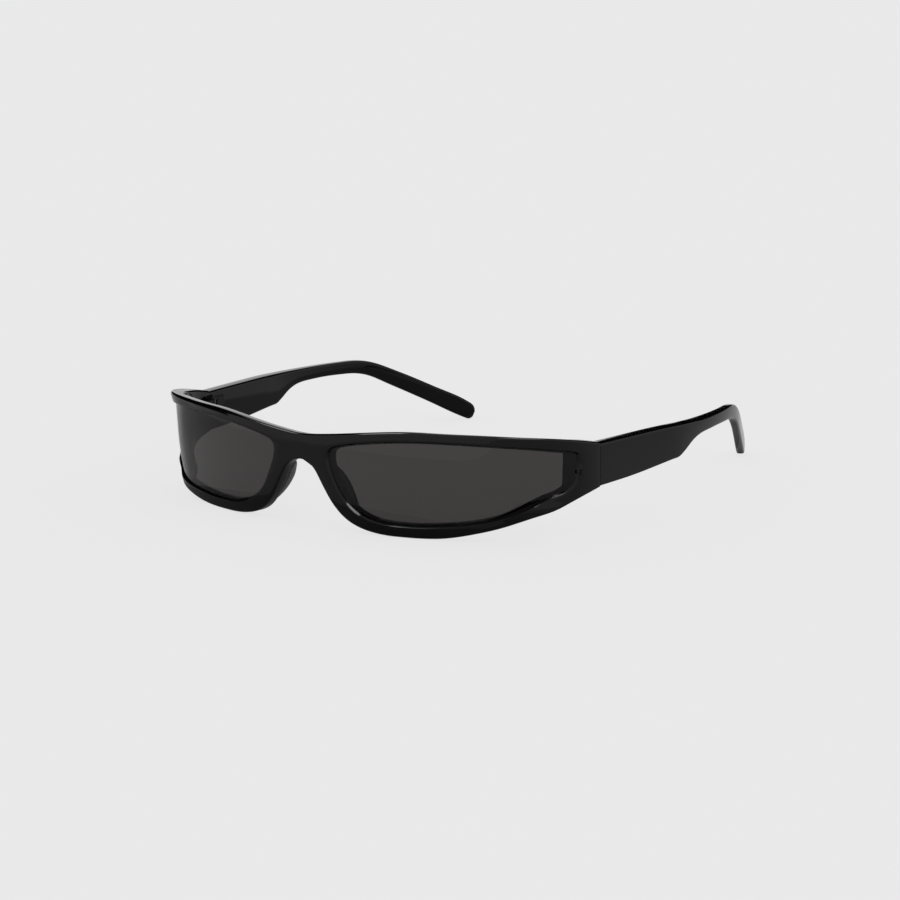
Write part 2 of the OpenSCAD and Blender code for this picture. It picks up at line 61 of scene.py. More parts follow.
# %% Camera
LOOK_AT = Vector((21.07, -34.75, 16.49)) * MM
AZIMUTH = math.radians(36.32)
ELEVATION = math.radians(11.8)
ROLL = math.radians(-0.7)
DISTANCE = 0.7893
LENS_MM = 115.3

back = Vector((math.sin(AZIMUTH) * math.cos(ELEVATION), -math.cos(AZIMUTH) * math.cos(ELEVATION),
               math.sin(ELEVATION)))
level_right = Vector((math.cos(AZIMUTH), math.sin(AZIMUTH), 0))
level_up = back.cross(level_right)
right = math.cos(ROLL) * level_right + math.sin(ROLL) * level_up
up = back.cross(right)
camera = bpy.data.objects.new("camera", bpy.data.cameras.new("camera"))
bpy.context.scene.collection.objects.link(camera)
camera.matrix_world = Matrix.Translation(LOOK_AT + DISTANCE * back) @ Matrix((right, up, back)).transposed().to_4x4()
camera.data.lens = LENS_MM
camera.data.sensor_width = 36
camera.data.clip_start = 0.01
bpy.context.scene.camera = camera
bpy.context.scene.view_settings.view_transform = "Standard"
print("Camera at", [round(v, 3) for v in camera.location])

# %% [markdown]
# Small helpers
#
# Everything is modelled by hand-like steps: add a primitive, go into edit mode, extrude, and put the new points
# where they belong. An operator acts on all that is selected, so each step first deselects everything.


# %% Helpers for selecting and for mesh work
def activate(obj):
    bpy.ops.object.select_all(action="DESELECT")
    obj.select_set(True)
    bpy.context.view_layer.objects.active = obj


def edit(obj):
    activate(obj)
    bpy.ops.object.mode_set(mode="EDIT")


def leave_edit():
    bpy.ops.object.mode_set(mode="OBJECT")


def key_of(point):
    return tuple(round(v * 1e7) for v in point)


def ring_start(name, ring):
    """A circle primitive whose points are put on the first ring; it stays in edit mode with the ring selected."""
    bpy.ops.object.select_all(action="DESELECT")
    bpy.ops.mesh.primitive_circle_add(vertices=len(ring), radius=0.01, fill_type="NOTHING", location=(0, 0, 0))
    obj = bpy.context.object
    obj.name = name
    obj.data.name = name
    for vertex, point in zip(obj.data.vertices, ring):
        vertex.co = point
    edit(obj)
    bpy.ops.mesh.select_all(action="SELECT")
    return obj


def ring_pull(obj, ring, target):
    """Extrudes the selected ring and moves each new point from its place on ring to its place on target."""
    bpy.ops.mesh.extrude_region_move(TRANSFORM_OT_translate={"value": (0, 0, 0)})
    mesh = bmesh.from_edit_mesh(obj.data)
    places = {key_of(a): b for a, b in zip(ring, target)}
    for vertex in mesh.verts:
        if vertex.select:
            vertex.co = places[key_of(vertex.co)]
    bmesh.update_edit_mesh(obj.data)


def sweep(name, rings, closed=False, caps=False):
    """Pulls a ring through all the others. closed joins the last ring to the first, caps fills both ends."""
    obj = ring_start(name, rings[0])
    if caps:
        bpy.ops.mesh.edge_face_add()
    for ring, target in zip(rings, rings[1:]):
        ring_pull(obj, ring, target)
    if closed:
        ring_pull(obj, rings[-1], rings[0])
    bpy.ops.mesh.select_all(action="SELECT")
    bpy.ops.mesh.remove_doubles(threshold=1e-7)
    bpy.ops.mesh.normals_make_consistent(inside=False)
    leave_edit()
    return obj


def smooth(obj, angle):
    activate(obj)
    bpy.ops.object.shade_smooth_by_angle(angle=math.radians(angle))


def mirrored(obj, name):
    """A copy with its own mesh on the other side of the midplane."""
    activate(obj)
    bpy.ops.object.duplicate()
    copy = bpy.context.object
    copy.name = name
    copy.data.name = name
    edit(copy)
    bpy.ops.mesh.select_all(action="SELECT")
    bpy.ops.transform.resize(value=(-1, 1, 1), center_override=(0, 0, 0))
    bpy.ops.mesh.normals_make_consistent(inside=False)
    leave_edit()
    return copy


def finish_piece(piece, body, node, material):
    piece.data.materials.clear()
    piece.data.materials.append(material)
    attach(piece, body)
    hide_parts(node)
    print(piece.name, "has", len(piece.data.polygons), "faces")


# %% [markdown]
# The plan of the front and temples
#
# Seen from above, the outer face is one line: flat over the bridge, a gentle curve across each lens, a tight wrap
# at the side of the face, and then the temple with its inward curve behind the ear. The line is described by how
# far it has turned at each length. Averaging that turn over a few millimetres lets one curve grow out of the
# next, as a polished mould does.

# %% Plan line
BRIDGE_HALF = 10
CURVES = [(95, 26.5), (30, 47), (62, 11.2)]
STRAIGHT = 30
TEMPLE_CURVE = (102, 32.5)
EASE = 4
STEP = 0.25
FRONT_SETBACK = 0.586


def arc_length(radius, turn):
    return radius * math.radians(turn)


S_FACE = BRIDGE_HALF + arc_length(*CURVES[0])
S_END = S_FACE + arc_length(*CURVES[1]) + arc_length(*CURVES[2])
JOINT_TURN = sum(turn for radius, turn in CURVES)


def plain_turn(s):
    if s < 0:
        return -plain_turn(-s)
    turn = 0
    at = BRIDGE_HALF
    for radius, full in CURVES + [(None, STRAIGHT), TEMPLE_CURVE]:
        length = full if radius is None else arc_length(radius, full)
        if radius:
            turn += full * max(0, min(1, (s - at) / length))
        at += length
    return turn


def eased_turn(s):
    offsets = [EASE * k / 6 for k in range(-6, 7)]
    return sum(plain_turn(s + d) for d in offsets) / len(offsets)


PLAN = [(0.0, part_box("frame_front")[0][1] / MM - FRONT_SETBACK, 0.0)]
while len(PLAN) * STEP < S_END + 130:
    x, y, turn = PLAN[-1]
    middle = math.radians(eased_turn((len(PLAN) - 0.5) * STEP))
    PLAN.append((x + STEP * math.cos(middle), y + STEP * math.sin(middle), eased_turn(len(PLAN) * STEP)))


def plan(s):
    """Place and turn of the plan line at the length s."""
    at = min(abs(s) / STEP, len(PLAN) - 1.001)
    i = int(at)
    x, y, turn = (a + (b - a) * (at - i) for a, b in zip(PLAN[i], PLAN[i + 1]))
    return (x, y, turn) if s >= 0 else (-x, y, -turn)


print("Front length to the joint:", round(S_END, 2), "mm, joint at", [round(v, 2) for v in plan(S_END)])

# %% [markdown]
# The face of the front
#
# The front isn't a bent flat strip. It leans forward at the brow, it is slightly crowned from brow to chin, and
# its lower edge tucks in at the wrap. All three fade out before the hinge, where the end is flat.

# %% Face surface
LEAN = math.tan(math.radians(3.2))
SIDE_LEAN = math.tan(math.radians(10.8))
CROWN_RADIUS = 55
CROWN_Z = 13
SLOPE_Z = 25
FLAT_END = 6


def ease(a, b, v):
    """0 before a, 1 after b, and a smooth rise between."""
    u = max(0, min(1, (v - a) / (b - a)))
    return u * u * (3 - 2 * u)


def wrap_share(s):
    """How much of the wrap's own shape there is at s: all of it half-way round the side, none at either end."""
    u = max(0, min(1, (abs(s) - S_FACE + 2) / (S_END - FLAT_END - S_FACE + 2)))
    return (1 - math.cos(2 * math.pi * u)) / 2


def bulge_at(s, z):
    fade = 1 - ease(S_FACE, S_END - FLAT_END, abs(s))
    slope = z - SLOPE_Z
    return fade * (LEAN * slope - (z - CROWN_Z) ** 2 / (2 * CROWN_RADIUS)) + wrap_share(s) * SIDE_LEAN * slope


def bulge(s, z):
    offsets = [-4, -2, 0, 2, 4]
    return sum(bulge_at(s + d, z) for d in offsets) / len(offsets)


def on_front(s, z, n):
    """A point of the front: s along it, z up, n outwards from its face, all in millimetres."""
    x, y, turn = plan(s)
    a = math.radians(turn)
    r = bulge(s, z) + n
    return Vector((x + math.sin(a) * r, y - math.cos(a) * r, z)) * MM


# %% [markdown]
# Outlines
#
# Brow, chin and lens opening are drawn with few points, as [length along the face, height]. A smooth curve runs
# through them, and a light averaging takes out what is left of the corners between its pieces.

# %% Outline curves
BROW = [(0, 25.2), (11, 26.4), (21, 27.6), (32, 28.6), (43, 28.6), (S_END - 29, 28.3), (S_END - 17, 27.25),
        (S_END - 8, 25.8), (S_END, 24.1)]
CHIN = [(S_END, 11.9), (S_END - 7, 10.4), (S_END - 17, 6.6), (S_END - 26, 4.3), (S_END - 37, 2.4), (44, 0.45), (35, 0),
        (25, 0.15), (18.6, 1.3), (14.1, 3.4), (10.6, 6.9), (8.2, 10.7), (6.4, 13.8), (4.5, 16.6), (2.3, 18.1), (0, 18.6)]
OPENING = [(9, 18.9), (9.2, 21.6), (10.6, 22.85), (13.5, 23.75), (21.5, 25.15), (34, 26.3), (47, 26.4),
           (S_END - 26, 25.45), (S_END - 15, 24.05), (S_END - 10.3, 23.15), (S_END - 8.1, 22.25), (S_END - 7.5, 20.6),
           (S_END - 7.9, 18), (S_END - 8.5, 14.9), (S_END - 9.6, 13.4), (S_END - 17, 10.5), (S_END - 25.3, 7.5),
           (S_END - 36.8, 4.95), (43.4, 3.6), (33, 3), (24, 3.45), (18.2, 5.3), (13.6, 9.2), (10.5, 14.7)]


def curve(points, steps, closed=False):
    """A smooth curve through points, with steps pieces between neighbours."""
    p = [Vector(q) for q in points]
    n = len(p)

    def tangent(i):
        a = p[(i - 1) % n] if closed else p[max(0, i - 1)]
        b = p[i]
        c = p[(i + 1) % n] if closed else p[min(n - 1, i + 1)]
        if (b - a).length == 0:
            return (c - b).normalized()
        if (c - b).length == 0:
            return (b - a).normalized()
        return ((b - a).normalized() * (c - b).length + (c - b).normalized() * (b - a).length).normalized()

    line = []
    for i in range(n if closed else n - 1):
        k = (i + 1) % n
        d = (p[k] - p[i]).length
        ta = tangent(i) * d
        tb = tangent(k) * d
        for j in range(steps):
            u = j / steps
            line.append(p[i] * (2 * u ** 3 - 3 * u * u + 1) + ta * (u ** 3 - 2 * u * u + u)
                        + p[k] * (3 * u * u - 2 * u ** 3) + tb * (u ** 3 - u * u))
    if not closed:
        line.append(p[-1])
    return line


def eased(line, passes, start=None, end=None):
    """Averages neighbours. start and end say how an open line goes on: mirrored, or held at None."""
    for _ in range(passes):
        before = [Vector((-line[1].x, line[1].y)) if start == "mirror" else line[0]] + list(line)
        before += [Vector((-line[-2].x, line[-2].y)) if end == "mirror" else line[-1]]
        eased_line = [(before[i] + 2 * before[i + 1] + before[i + 2]) / 4 for i in range(len(line))]
        if start is None:
            eased_line[0] = line[0]
        if end is None:
            eased_line[-1] = line[-1]
        line = eased_line
    return line


def eased_loop(line, passes):
    n = len(line)
    for _ in range(passes):
        line = [(line[i - 1] + 2 * line[i] + line[(i + 1) % n]) / 4 for i in range(n)]
    return line


BROW_STEPS = 10
CHIN_STEPS = 6
END_STEPS = 20
MID_STEPS = 8
LOOP_STEPS = 10
brow_line = eased(curve(BROW, BROW_STEPS), 12, start="mirror")
chin_line = [Vector((p.x, max(0, p.y))) for p in eased(curve(CHIN, CHIN_STEPS), 6, end="mirror")]
opening_loop = eased_loop(curve(OPENING, LOOP_STEPS, closed=True), 4)
print("Brow", len(brow_line), "chin", len(chin_line), "opening", len(opening_loop), "points")

# %% [markdown]
# Stations round the rim
#
# The rim is a closed ring of plastic round a lens. At each station round it, one point of the outer outline faces
# one point of the lens opening. The stations on the midline let the two rims meet in the bridge.

# %% Stations
EDGE_R = 0.7
BUTT_R = 0.06
FIRST_CHIN = len(brow_line) + END_STEPS - 1
LAST_CHIN = FIRST_CHIN + len(chin_line) - 1
STATIONS = LAST_CHIN + MID_STEPS
UPPER_NOSE = LOOP_STEPS
UPPER_END = LOOP_STEPS * 10
LOWER_END = LOOP_STEPS * 14
LOWER_NOSE = LOOP_STEPS * 23


def between(a, b, u):
    return a + (b - a) * u


def edge_step(line, i):
    """The step from an outline to the flat of the face, at right angles to the outline."""
    t = (line[min(len(line) - 1, i + 1)] - line[max(0, i - 1)]).normalized()
    return Vector((t.y, -t.x)) * EDGE_R


def outer(j):
    """The outer outline at station j, the step inwards to the flat of the face, and the rounding's depth."""
    top = brow_line[0].y
    notch = chin_line[-1].y
    if j == 0:
        return brow_line[0], Vector((0, -EDGE_R)), EDGE_R
    if j < len(brow_line) - 1:
        return brow_line[j], edge_step(brow_line, j), EDGE_R
    if j == len(brow_line) - 1:
        return brow_line[j], Vector((-BUTT_R, -EDGE_R)), EDGE_R
    if j < FIRST_CHIN:
        k = (j - len(brow_line) + 1) / END_STEPS
        return Vector((S_END, between(brow_line[-1].y, chin_line[0].y, k))), Vector((-BUTT_R, 0)), BUTT_R
    if j == FIRST_CHIN:
        return chin_line[0], Vector((-BUTT_R, EDGE_R)), EDGE_R
    if j < LAST_CHIN:
        return chin_line[j - FIRST_CHIN], edge_step(chin_line, j - FIRST_CHIN), EDGE_R
    if j == LAST_CHIN:
        return chin_line[-1], Vector((0, EDGE_R)), EDGE_R
    k = (j - LAST_CHIN) / MID_STEPS
    return Vector((0, between(notch + EDGE_R, top - EDGE_R, k))), Vector((0, 0)), EDGE_R


def opening_at(j):
    n = len(opening_loop)
    if j < len(brow_line):
        return between(UPPER_NOSE, UPPER_END, j / (len(brow_line) - 1))
    if j < FIRST_CHIN:
        return between(UPPER_END, LOWER_END, (j - len(brow_line) + 1) / END_STEPS)
    if j <= LAST_CHIN:
        return between(LOWER_END, LOWER_NOSE, (j - FIRST_CHIN) / (len(chin_line) - 1))
    return between(LOWER_NOSE, n + UPPER_NOSE, (j - LAST_CHIN) / MID_STEPS) % n


def loop_at(u):
    n = len(opening_loop)
    i = int(math.floor(u))
    return between(opening_loop[i % n], opening_loop[(i + 1) % n], u - i)


def opening_step(u, r):
    """The opening's outline moved outwards by r."""
    t = (loop_at(u + 2) - loop_at(u - 2)).normalized()
    return loop_at(u) + Vector((-t.y, t.x)) * r


print(STATIONS, "stations round each rim")

# %% [markdown]
# The moulded front
#
# The front of real sunglasses comes out of one mould: brow, rims, bridge and end-pieces are one skin. Its section
# is a bevel beside the lens, a flat face, rounded outer edges, a flat back and a groove for the lens. The section
# is pulled round one rim loop by loop, the faces on the midline are taken out, and a mirror makes the other half.

# %% Section of the rim
FRONT_T = 4
BROW_FALL = math.tan(math.radians(10))
BEVEL_W = 0.45
NOSE_SEAT = 0.8
SIDE_SEAT = 1.6
SIDE_HOLLOW = 1
RIM_SWELL = 0.8
LENS_BITE = 0.8
LENS_EDGE = LENS_BITE - BEVEL_W
BACK_LIP = 0.9
LENS_T = 1.3
LENS_GAP = 0.05
GROOVE_W = LENS_T + 2 * LENS_GAP
MICRO = 0.2
ROUND_STEPS = 6
WALL_S = S_END - 7.7 - 2.85


def seat(s):
    """Depth of the lens behind the face."""
    return between(NOSE_SEAT, SIDE_SEAT, wrap_share(s))


def hollow(p):
    """At the side of the face the rim swells below the lens, and the face is hollow above that."""
    dip = SIDE_HOLLOW * ease(8.5, 12.5, p.y) * (1 - 0.7 * ease(24, 28.5, p.y))
    return wrap_share(p.x) * (dip - RIM_SWELL * ease(5.5, 7.8, p.y) * (1 - ease(8, 9.8, p.y)))


def walled(p):
    """The inner wall ends earlier than the opening behind the outer end of a lens."""
    return Vector((min(p.x, WALL_S + 0.02 * (p.x - WALL_S)), p.y))


def top_fall(j):
    """How far the brow's top face falls towards the back; it lies level where it meets a temple."""
    if j >= len(brow_line):
        return 0
    return BROW_FALL * (FRONT_T - 2 * EDGE_R) * (1 - ease(S_END - 14, S_END - 3, brow_line[j].x))


def rim_section(j):
    """One section of the rim, as points of the front's outline and depths."""
    u = opening_at(j)
    o, v, e = outer(j)
    flat = o + v
    lip = opening_step(u, -BEVEL_W)
    edge = opening_step(u, 0)
    depth = seat(lip.x)
    slope = (depth - hollow(edge)) / BEVEL_W
    half_way = opening_step(u, -0.5 * BEVEL_W)
    rows = [(lip, -depth), (half_way, -(depth + hollow(edge)) / 2)]
    rows += [(opening_step(u, -MICRO), -hollow(edge) - MICRO * slope), (edge, -hollow(edge) - 0.35 * MICRO)]
    face = opening_step(u, MICRO)
    rows += [(q, -hollow(q)) for q in (between(face, flat, k / 4) for k in range(4))]
    for k in range(ROUND_STEPS + 1):
        a = math.pi / 2 * k / ROUND_STEPS
        q = o + v * (1 - math.sin(a))
        rows.append((q, -hollow(q) - e * (1 - math.cos(a))))
    fall = Vector((0, top_fall(j)))
    rows.append((o - fall / 2, -FRONT_T / 2))
    for k in range(ROUND_STEPS + 1):
        a = math.pi / 2 * k / ROUND_STEPS
        rows.append((o - fall + v * (1 - math.cos(a)), e * (1 - math.sin(a)) - FRONT_T))
    back_wall = walled(opening_step(u, -BACK_LIP))
    back_edge = walled(opening_step(u, 0.3 - BACK_LIP))
    rows += [(between(flat - fall, back_edge, k / 3), -FRONT_T) for k in range(1, 4)]
    rows += [(between(back_edge, back_wall, 0.7), 0.09 - FRONT_T), (back_wall, 0.3 - FRONT_T)]
    rows += [(back_wall, -seat(back_wall.x) - GROOVE_W)]
    groove = opening_step(u, LENS_EDGE + 0.1)
    rows += [(groove, -seat(groove.x) - GROOVE_W), (groove, -seat(groove.x))]
    return rows


sections = [rim_section(j) for j in range(STATIONS)]
rim_rings = [[on_front(q.x, q.y, n) for q, n in (s[k] for s in sections)] for k in range(len(sections[0]))]
print(len(rim_rings), "loops round the rim")

# %% [markdown]
# Room for the hinge
#
# Behind each end-piece the plastic is cut back for the hinge: a round pocket for the knuckles, a shallow flat seat
# for the leaf, and two blind holes for its rivets. Boolean cuts with simple cutters do this as a milling tool would.

# %% Hinge pocket cutters
JOINT = Vector((70.056, -34.557))
AXIS_IN = FRONT_T + 0.6
KNUCKLE_R = 1.4
KNUCKLE_H = 2.3
KNUCKLE_GAP = 0.08
HINGE_Z = 18.1
STACK_H = 3 * KNUCKLE_H + 2 * KNUCKLE_GAP
STACK_LOW = HINGE_Z - STACK_H / 2
LEAF_IN = FRONT_T - 0.9
LEAF_LEN = 6.9
RIVET_AT = 4.5
RIVET_RISE = 2
RIVET_R = 0.62
hinge_frame = (Matrix.Translation((JOINT.x * MM, JOINT.y * MM, 0))
               @ Matrix.Rotation(math.radians(JOINT_TURN), 4, "Z"))


def cutter_box(low, high):
    bpy.ops.object.select_all(action="DESELECT")
    bpy.ops.mesh.primitive_cube_add(size=1, location=(0, 0, 0))
    box = bpy.context.object
    for vertex in box.data.vertices:
        vertex.co = Vector([(a if c < 0 else b) * MM for c, a, b in zip(vertex.co, low, high)])
    box.data.transform(hinge_frame)
    return box


def cutter_rod(radius, start, end):
    bpy.ops.object.select_all(action="DESELECT")
    bpy.ops.mesh.primitive_cylinder_add(vertices=64, radius=radius * MM, depth=1, location=(0, 0, 0))
    rod = bpy.context.object
    a = Vector(start) * MM
    b = Vector(end) * MM
    turn = (b - a).to_track_quat("Z", "Y").to_matrix().to_4x4()
    stretch = Matrix.Diagonal((1, 1, (b - a).length, 1))
    rod.data.transform(hinge_frame @ Matrix.Translation((a + b) / 2) @ turn @ stretch)
    return rod


def cut(piece, cutter):
    activate(piece)
    step = piece.modifiers.new("cut", "BOOLEAN")
    step.operation = "DIFFERENCE"
    step.solver = "EXACT"
    step.object = cutter
    bpy.ops.object.modifier_apply(modifier=step.name)
    bpy.data.objects.remove(cutter)


def hinge_cuts(piece, end):
    """end is -1 on the front and 1 on a temple."""
    cut(piece, cutter_rod(KNUCKLE_R + 0.25, (0, AXIS_IN, STACK_LOW - 0.3), (0, AXIS_IN, STACK_LOW + STACK_H + 1.1)))
    low, high = sorted((0, end * (LEAF_LEN + 0.1)))
    cut(piece, cutter_box((low, LEAF_IN, STACK_LOW - 0.1), (high, LEAF_IN + 3, STACK_LOW + STACK_H + 0.1)))
    for rise in (-RIVET_RISE, RIVET_RISE):
        at = end * RIVET_AT
        cut(piece, cutter_rod(RIVET_R, (at, LEAF_IN - 1.65, HINGE_Z + rise), (at, LEAF_IN + 0.5, HINGE_Z + rise)))


# %% Pull the rim, cut it, mirror it and join the halves
front = sweep("front_moulding", rim_rings, closed=True)
hinge_cuts(front, -1)
mesh = bmesh.new()
mesh.from_mesh(front.data)
on_midline = [f for f in mesh.faces if all(abs(v.co.x) < 1e-7 for v in f.verts)]
print("Faces taken out of the midline:", len(on_midline))
bmesh.ops.delete(mesh, geom=on_midline, context="FACES")
mesh.to_mesh(front.data)
mesh.free()
activate(front)
mirror = front.modifiers.new("other half", "MIRROR")
mirror.use_mirror_merge = True
mirror.merge_threshold = 1e-6
bpy.ops.object.modifier_apply(modifier=mirror.name)
edit(front)
bpy.ops.mesh.select_all(action="SELECT")
bpy.ops.mesh.remove_doubles(threshold=1e-6)
bpy.ops.mesh.normals_make_consistent(inside=False)
leave_edit()
smooth(front, 32)
print("Front has", len(front.data.polygons), "faces")

# %% [markdown]
# Lenses
#
# Each lens is a curved sheet 1.3 mm thick, ground to the shape of the opening and held in the groove. A grid is
# spread between the upper and lower halves of the lens edge, laid on the curve of the seat, and given its
# thickness towards the face.

# %% Lens
LENS_COLUMNS = 90
LENS_ROWS = 24
HALF_LOOP = len(opening_loop) / 2


def lens_place(u, v):
    i = 0.4 + (HALF_LOOP - 0.8) * u
    p = between(opening_step(-i, LENS_EDGE), opening_step(i, LENS_EDGE), v)
    return on_front(p.x, p.y, -seat(p.x) - LENS_GAP)


bpy.ops.object.select_all(action="DESELECT")
bpy.ops.mesh.primitive_grid_add(x_subdivisions=LENS_COLUMNS, y_subdivisions=LENS_ROWS, size=1)
lens_left = bpy.context.object
lens_left.name = lens_left.data.name = "lens_left_sheet"
for vertex in lens_left.data.vertices:
    vertex.co = lens_place(vertex.co.x + 0.5, vertex.co.y + 0.5)
edit(lens_left)
bpy.ops.mesh.select_all(action="SELECT")
bpy.ops.mesh.normals_make_consistent(inside=False)
leave_edit()
middle_face = lens_left.data.polygons[len(lens_left.data.polygons) // 2]
if middle_face.normal.y > 0:
    edit(lens_left)
    bpy.ops.mesh.select_all(action="SELECT")
    bpy.ops.mesh.flip_normals()
    leave_edit()
wall = lens_left.modifiers.new("thickness", "SOLIDIFY")
wall.thickness = LENS_T * MM
wall.offset = -1
activate(lens_left)
bpy.ops.object.modifier_apply(modifier=wall.name)
smooth(lens_left, 40)
lens_right = mirrored(lens_left, "lens_right_sheet")
print("Lens runs from x", round(min(v.co.x for v in lens_left.data.vertices) / MM, 1), "to",
      round(max(v.co.x for v in lens_left.data.vertices) / MM, 1), "mm")

# %% [markdown]
# Nose pads
#
# A nose pad is a smooth ridge on the back of the front, beside the notch. It grows out of nothing near the bridge,
# stands proud in the middle and sinks away again below. It leans outwards, because a nose widens towards the face.

# %% Nose pads
PAD_PATH = [(4.5, 16.5), (6.4, 13.8), (8.2, 10.6), (11, 6.9), (15, 3.4)]
PAD_REACH = 5.2
PAD_HALF = 1.3
PAD_FLARE = 0.6
PAD_LOW = 0.12
PAD_SECTION = [(-1, 0), (-1, 0.25), (-0.98, 0.5), (-0.88, 0.72), (-0.6, 0.91), (-0.22, 0.99), (0.22, 0.99), (0.6, 0.91),
               (0.88, 0.72), (0.98, 0.5), (1, 0.25), (1, 0), (0.5, 0), (0, 0), (-0.5, 0)]
pad_line = eased(curve(PAD_PATH, 8), 4)
pad_rings = []
for i, p in enumerate(pad_line):
    v = edge_step(pad_line, i) / EDGE_R
    u = i / (len(pad_line) - 1)
    reach = PAD_REACH * max(0.16, math.sin(math.pi * u) ** 0.6)
    half = PAD_HALF * min(1, 0.55 + 3.2 * u * (1 - u) * 2)
    ring = []
    for across, rise in PAD_SECTION:
        q = p - v * (PAD_HALF + 0.15 + half * across + PAD_FLARE * rise * reach / PAD_REACH)
        ring.append(on_front(q.x, q.y, -FRONT_T - PAD_LOW - rise * reach))
    pad_rings.append(ring)
pad_left = sweep("nose_pad_left_ridge", pad_rings)
edit(pad_left)
bpy.ops.mesh.select_all(action="SELECT")
bpy.ops.mesh.fill_holes(sides=0)
bpy.ops.mesh.normals_make_consistent(inside=False)
leave_edit()
activate(pad_left)
rounder = pad_left.modifiers.new("rounder", "SUBSURF")
rounder.levels = 1
rounder.render_levels = 1
bpy.ops.object.modifier_apply(modifier=rounder.name)
smooth(pad_left, 50)
pad_right = mirrored(pad_left, "nose_pad_right_ridge")

# %% [markdown]
# Temples
#
# A temple goes on where the front ends: the same outer face, the same upper edge. It is deep at the hinge, a ramp
# cuts it to a slim bar in front of the ear, and behind the ear it drops. A rounded section is pulled through
# pairs of points on its lower and upper edges.

# %% Temple edges
TEMPLE_TOP = 23.8
DEEP_H = 11.6
SLIM_H = 4
NOTCH_AT = 35.3
BEND_AT = 75.5
TIP_AT = BEND_AT + 38.1
TIP_T = 2.4
DROP_H = 5.2
DROP_ANGLE = math.radians(25.5)
DROP_STEP = Vector((math.sin(DROP_ANGLE), math.cos(DROP_ANGLE))) * DROP_H
TIP_TOP = DROP_STEP.y + 0.9
TEMPLE_STEPS = 8
TEMPLE_IN = 0.05


def upright(t, z, h):
    return (t, z), (t, z - h)


def dropped(d, z, h):
    top = Vector((TIP_AT - d, z))
    return tuple(top), tuple(top - h * DROP_STEP)


TEMPLE_EDGES = [
    upright(0.12, TEMPLE_TOP, DEEP_H),
    upright(15, TEMPLE_TOP - 0.1, DEEP_H - 0.6),
    ((NOTCH_AT - 4, TEMPLE_TOP - 0.3), (NOTCH_AT - 3, TEMPLE_TOP - DEEP_H + 1.85)),
    ((NOTCH_AT - 1, TEMPLE_TOP - 0.4), (NOTCH_AT, TEMPLE_TOP - DEEP_H + 2.05)),
    ((NOTCH_AT + 2, TEMPLE_TOP - 0.5), (NOTCH_AT + 2.2, TEMPLE_TOP - DEEP_H + 3)),
    ((NOTCH_AT + 6, TEMPLE_TOP - 0.6), (NOTCH_AT + 6.4, TEMPLE_TOP - SLIM_H - 2.4)),
    upright(NOTCH_AT + 9.5, TEMPLE_TOP - 0.7, SLIM_H + 0.65),
    upright(NOTCH_AT + 18.5, TEMPLE_TOP - 0.85, SLIM_H - 0.15),
    upright(BEND_AT - 11, TEMPLE_TOP - 1.05, SLIM_H - 0.2),
    upright(BEND_AT - 4, TEMPLE_TOP - 1.3, SLIM_H + 0.05),
    ((BEND_AT + 1, TEMPLE_TOP - 2.15), (BEND_AT, TEMPLE_TOP - 2.3 - SLIM_H)),
    dropped(27.6, TIP_TOP + 12.35, 0.925),
    dropped(13.7, TIP_TOP + 5.8, 0.98),
    dropped(2.2, TIP_TOP, 1),
    ((TIP_AT - 0.6, TIP_TOP - 1.2), (TIP_AT - 3.1, 0.32)),
    ((TIP_AT - 0.05, TIP_TOP - 2.2), (TIP_AT - 2.1, 0)),
    ((TIP_AT, TIP_TOP - 3), (TIP_AT - 1.2, 0.3)),
]
top_line = eased(curve([pair[0] for pair in TEMPLE_EDGES], TEMPLE_STEPS), 3)
low_line = eased(curve([pair[1] for pair in TEMPLE_EDGES], TEMPLE_STEPS), 3)
print("Temple has", len(top_line), "stations, reach", round(max(p.x for p in top_line), 1), "mm")


# %% Temple section
def on_temple(t, z, n):
    x, y, turn = plan(S_END + t)
    a = math.radians(turn)
    n -= TEMPLE_IN * ease(0, STRAIGHT, t)
    return Vector((x + math.sin(a) * n, y - math.cos(a) * n, z)) * MM


def temple_thickness(t):
    return between(FRONT_T, TIP_T, max(0, min(1, (t - STRAIGHT) / (BEND_AT - STRAIGHT))))


def temple_ring(low, top, inset=0, ahead=0):
    """A rounded section between a lower and an upper point; inset shrinks it, ahead moves it along."""
    h = (top - low).length
    along = (top - low).normalized()
    thick = temple_thickness(top.x)
    r = max(0.1, min(EDGE_R, 0.35 * h) - inset)
    ring = []
    corners = [(inset + r, -inset - r, 180), (inset + r, -thick + inset + r, 270 - 180 + 0),
               (h - inset - r, -thick + inset + r, 0), (h - inset - r, -inset - r, 270)]
    starts = [(math.pi / 2, math.pi), (math.pi, 1.5 * math.pi), (1.5 * math.pi, 2 * math.pi), (0, math.pi / 2)]
    for (w, n, _), (first, last) in zip(corners, starts):
        for k in range(6):
            a = first + (last - first) * k / 5
            p = low + along * (w + r * math.cos(a))
            ring.append(on_temple(p.x + ahead, p.y, n + r * math.sin(a)))
    return ring


temple_rings = [temple_ring(low_line[0], top_line[0], inset=BUTT_R)]
shifted = [temple_ring(low_line[0] + Vector((BUTT_R, 0)), top_line[0] + Vector((BUTT_R, 0)))]
temple_rings += shifted + [temple_ring(a, b) for a, b in zip(low_line[1:], top_line[1:])]
temple_rings.append(temple_ring(low_line[-1], top_line[-1], inset=0.3, ahead=0.0))
temple_left = sweep("temple_left_arm", temple_rings)
edit(temple_left)
bpy.ops.mesh.select_all(action="SELECT")
bpy.ops.mesh.fill_holes(sides=0)
bpy.ops.mesh.normals_make_consistent(inside=False)
leave_edit()
hinge_cuts(temple_left, 1)
smooth(temple_left, 32)
temple_right = mirrored(temple_left, "temple_right_arm")
print("Temple reaches y", round(max(v.co.y for v in temple_left.data.vertices) / MM, 1), "mm")

